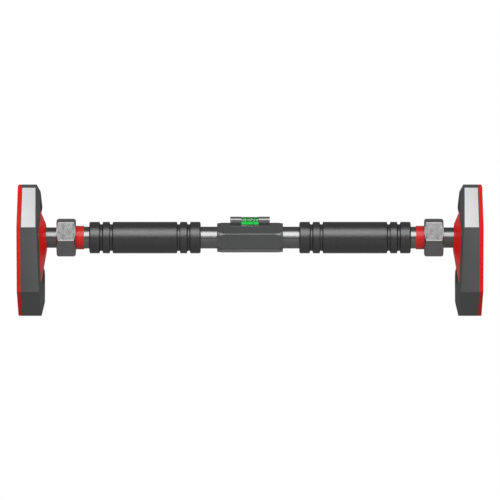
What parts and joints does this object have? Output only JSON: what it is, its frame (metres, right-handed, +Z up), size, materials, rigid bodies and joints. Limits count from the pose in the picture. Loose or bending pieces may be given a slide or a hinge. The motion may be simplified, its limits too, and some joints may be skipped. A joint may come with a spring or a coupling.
{
  "type": "pull up bar",
  "caption": "Doorway pull-up bar: a steel tube with foam grips and a bubble level, whose tubes screw out on both sides to press eccentric hexagonal padded plates on the door jambs.",
  "frame": {"origin": "on the bar's axis at mid-length, between the two pads", "axes": "+X along the bar, to the right seen from the front; +Z up, the level's side; -Y to the front"},
  "size_m": [0.72, 0.1772, 0.2028],
  "materials": {
    "dark_chrome": "dark bright-plated steel tube",
    "zinc_steel": "zinc-plated steel",
    "black_steel": "black powder coat",
    "brass_nut": "turned brass",
    "natural_acetal": "natural white acetal",
    "black_foam": "closed-cell foam skin, matte",
    "red_collar": "moulded red, satin gloss",
    "grey_nut": "moulded grey, satin gloss",
    "grey_shell": "moulded dark grey, satin",
    "pale_trim": "pale grey, satin",
    "red_hub": "moulded red, gloss",
    "red_rubber": "moulded red rubber, satin",
    "level_grey": "moulded dark grey, satin",
    "clear_vial": "clear acrylic",
    "green_liquid": "green vial liquid",
    "vial_air": "air bubble",
    "dark_sleeve": "dark gloss sleeve",
    "marker_ink": "dark marker line"
  },
  "bodies": {
    "bar": {"outer_tube": "dark_chrome", "screw_anchor": "zinc_steel", "anchor_pins": "zinc_steel", "left_lead_screw": "zinc_steel", "left_screw_stop_washer": "zinc_steel", "left_screw_stop_bolt": "zinc_steel", "left_foam_grip": "black_foam", "left_threaded_collar": "red_collar", "right_lead_screw": "zinc_steel", "right_screw_stop_washer": "zinc_steel", "right_screw_stop_bolt": "zinc_steel", "right_foam_grip": "black_foam", "right_threaded_collar": "red_collar"},
    "level": {"level_upper_half": "level_grey", "level_lower_half": "level_grey", "level_screws": "zinc_steel", "vial_tube": "clear_vial", "vial_liquid": "green_liquid", "vial_bubble": "vial_air", "vial_sleeves": "dark_sleeve", "vial_marker_rings": "marker_ink"},
    "left_glide": {"left_glide_ring": "natural_acetal"},
    "left_end": {"left_inner_tube": "dark_chrome", "left_drive_nut": "brass_nut", "left_drive_pins": "zinc_steel", "left_circlip": "zinc_steel", "left_tube_socket": "black_steel", "left_socket_bolt": "zinc_steel", "left_socket_bolt_nut": "zinc_steel", "left_hub_cover": "red_hub", "left_hub_screws": "zinc_steel", "left_plate_shell": "grey_shell", "left_trim_panels": "pale_trim", "left_backing_plate": "black_steel", "left_plate_screws": "zinc_steel", "left_rubber_pad": "red_rubber"},
    "left_clamp": {"left_clamp_ring": "natural_acetal"},
    "left_nut": {"left_lock_nut": "grey_nut"},
    "right_glide": {"right_glide_ring": "natural_acetal"},
    "right_end": {"right_inner_tube": "dark_chrome", "right_drive_nut": "brass_nut", "right_drive_pins": "zinc_steel", "right_circlip": "zinc_steel", "right_tube_socket": "black_steel", "right_socket_bolt": "zinc_steel", "right_socket_bolt_nut": "zinc_steel", "right_hub_cover": "red_hub", "right_hub_screws": "zinc_steel", "right_plate_shell": "grey_shell", "right_trim_panels": "pale_trim", "right_backing_plate": "black_steel", "right_plate_screws": "zinc_steel", "right_rubber_pad": "red_rubber"},
    "right_clamp": {"right_clamp_ring": "natural_acetal"},
    "right_nut": {"right_lock_nut": "grey_nut"}
  },
  "joints": [
    {"name": "level_turn", "type": "hinge", "parent": "bar", "child": "level", "pos_m": [0, 0, 0], "axis": [1, 0, 0], "continuous": true},
    {"name": "left_end_slide", "type": "slide", "parent": "bar", "child": "left_glide", "axis": [-1, 0, 0], "range_m": [0, 0.1]},
    {"name": "left_end_turn", "type": "hinge", "parent": "left_glide", "child": "left_end", "pos_m": [0, 0, 0], "axis": [-1, 0, 0], "range_deg": [0, 9000]},
    {"name": "left_nut_slide", "type": "slide", "parent": "bar", "child": "left_clamp", "axis": [-1, 0, 0], "range_m": [0, 0.006]},
    {"name": "left_nut_turn", "type": "hinge", "parent": "left_clamp", "child": "left_nut", "pos_m": [0, 0, 0], "axis": [-1, 0, 0], "range_deg": [0, 720]},
    {"name": "right_end_slide", "type": "slide", "parent": "bar", "child": "right_glide", "axis": [1, 0, 0], "range_m": [0, 0.1]},
    {"name": "right_end_turn", "type": "hinge", "parent": "right_glide", "child": "right_end", "pos_m": [0, 0, 0], "axis": [-1, 0, 0], "range_deg": [0, 9000]},
    {"name": "right_nut_slide", "type": "slide", "parent": "bar", "child": "right_clamp", "axis": [1, 0, 0], "range_m": [0, 0.006]},
    {"name": "right_nut_turn", "type": "hinge", "parent": "right_clamp", "child": "right_nut", "pos_m": [0, 0, 0], "axis": [1, 0, 0], "range_deg": [0, 720]}
  ],
  "couplings": [
    {"joint": "left_end_slide", "follows": "left_end_turn", "m_per_rad": 0.00063662},
    {"joint": "left_nut_slide", "follows": "left_nut_turn", "m_per_rad": 0.00047746},
    {"joint": "right_end_slide", "follows": "right_end_turn", "m_per_rad": 0.00063662},
    {"joint": "right_nut_slide", "follows": "right_nut_turn", "m_per_rad": 0.00047746}
  ]
}
